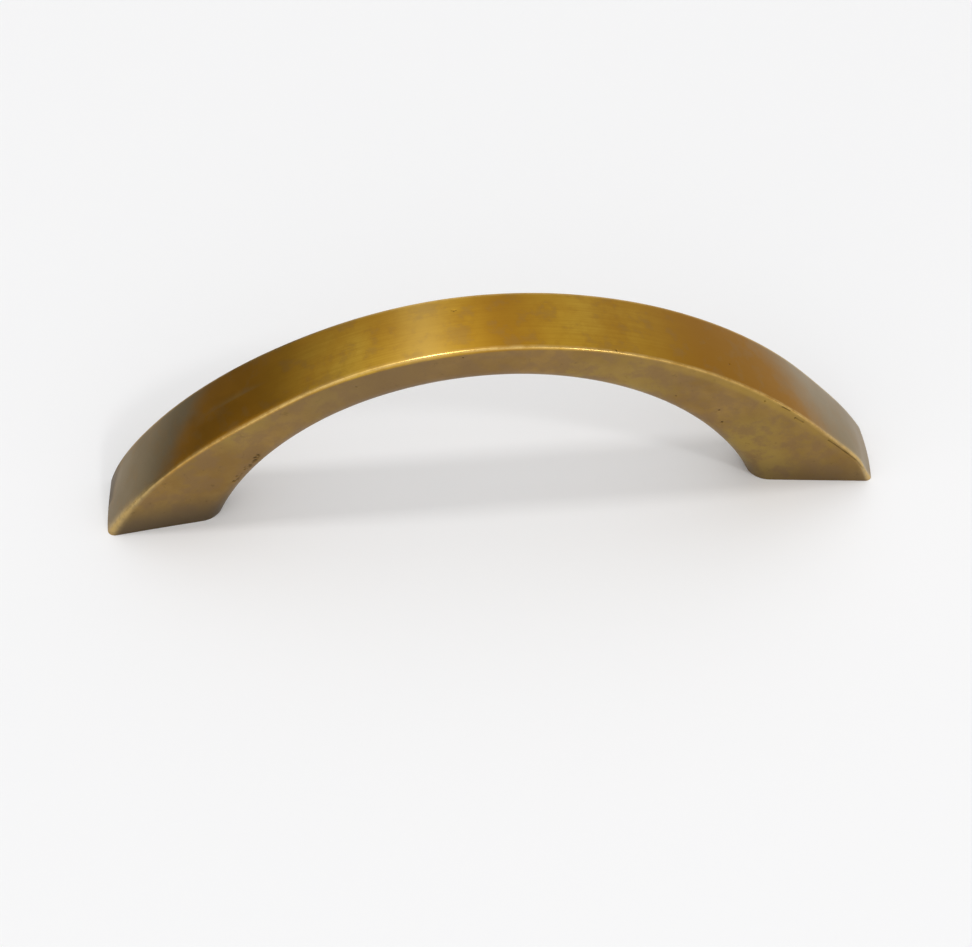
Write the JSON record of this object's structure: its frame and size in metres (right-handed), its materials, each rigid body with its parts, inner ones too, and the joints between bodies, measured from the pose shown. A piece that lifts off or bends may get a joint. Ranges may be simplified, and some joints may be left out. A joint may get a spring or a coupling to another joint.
{
  "type": "drawer pull",
  "caption": "Solid cast brass arch pull with a flat outer face, drafted sides, a rounded finger side and ground feet tapped for screws from behind.",
  "frame": {"origin": "middle of the mounting face, halfway between the two feet", "axes": "+X along the pull from foot to foot, +Y across the bar, +Z away from the drawer front"},
  "size_m": [0.12, 0.0116, 0.036],
  "materials": {
    "aged_brass": "satin, hand rubbed and darkened with age"
  },
  "bodies": {
    "root": {"pull_body": "aged_brass"}
  },
  "joints": []
}
